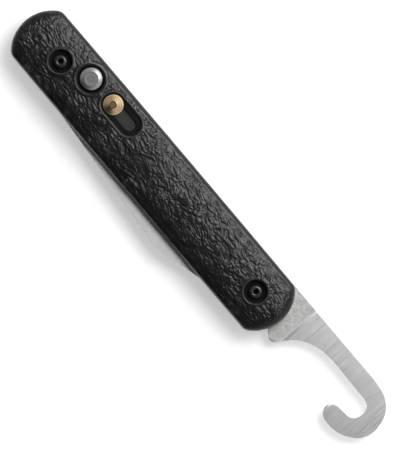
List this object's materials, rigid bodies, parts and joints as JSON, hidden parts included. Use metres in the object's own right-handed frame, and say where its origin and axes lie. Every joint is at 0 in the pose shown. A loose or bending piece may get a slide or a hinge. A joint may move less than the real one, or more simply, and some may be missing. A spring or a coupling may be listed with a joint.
{
  "type": "two-bladed folding knife with hook blade",
  "caption": "Folding knife with a push-button clip-point blade with a sliding safety at one end and a hook blade at the other, between bark-textured black scales.",
  "frame": {"origin": "centre of the flat land of the rear scale, on the handle's centre line, where the closed handle rests on a table", "axes": "+X along the handle towards the hook blade, +Y across the handle towards its closed back, +Z through the handle out of the side with the button"},
  "size_m": [0.1738, 0.026, 0.0171],
  "materials": {
    "black_scale": "moulded with a wrinkled bark-like relief, semi-gloss ridges",
    "liner_steel": "bead blasted",
    "blade_steel": "satin, cross ground",
    "pivot_steel": "turned",
    "black_steel": "black oxide",
    "washer_bronze": "satin",
    "spring_steel": "drawn wire",
    "button_steel": "turned face, satin rim",
    "knob_brass": "turned, satin"
  },
  "bodies": {
    "handle": {"front_scale": "black_scale", "rear_scale": "black_scale", "front_liner": "liner_steel", "centre_liner": "liner_steel", "rear_liner": "liner_steel", "main_pivot_barrel": "pivot_steel", "hook_pivot_barrel": "pivot_steel", "front_screws": "black_steel", "rear_screws": "black_steel", "main_blade_washers": "washer_bronze", "hook_blade_washers": "washer_bronze", "pivot_spacers": "pivot_steel", "opening_spring": "spring_steel", "button_spring": "spring_steel", "safety_detent_spring": "spring_steel", "stop_pin": "pivot_steel", "spacer_pins": "pivot_steel", "main_backspacer": "black_steel", "rear_backspacer": "black_steel", "hook_backspring": "black_steel"},
    "main_blade": {"main_blade": "blade_steel"},
    "hook_blade": {"hook_blade": "blade_steel"},
    "button": {"button_cap": "button_steel", "lock_plunger": "pivot_steel"},
    "safety": {"safety_knob": "knob_brass", "safety_slide": "black_steel"}
  },
  "joints": [
    {"name": "main_blade_hinge", "type": "hinge", "parent": "handle", "child": "main_blade", "pos_m": [-0.046, 0, 0.0099], "axis": [0, 0, 1], "range_deg": [-180, 0], "deforming": ["opening_spring"]},
    {"name": "hook_blade_hinge", "type": "hinge", "parent": "handle", "child": "hook_blade", "pos_m": [0.051, 0, 0.0064], "axis": [0, 0, 1], "range_deg": [-180, 0], "deforming": ["hook_backspring"]},
    {"name": "button_press", "type": "slide", "parent": "handle", "child": "button", "axis": [0, 0, -1], "range_m": [0, 0.0022], "stiffness_N_per_m": 1200, "springref_m": -0.002, "deforming": ["button_spring"]},
    {"name": "safety_slide", "type": "slide", "parent": "handle", "child": "safety", "axis": [1, 0, 0], "range_m": [0, 0.0082], "deforming": ["safety_detent_spring"]}
  ]
}
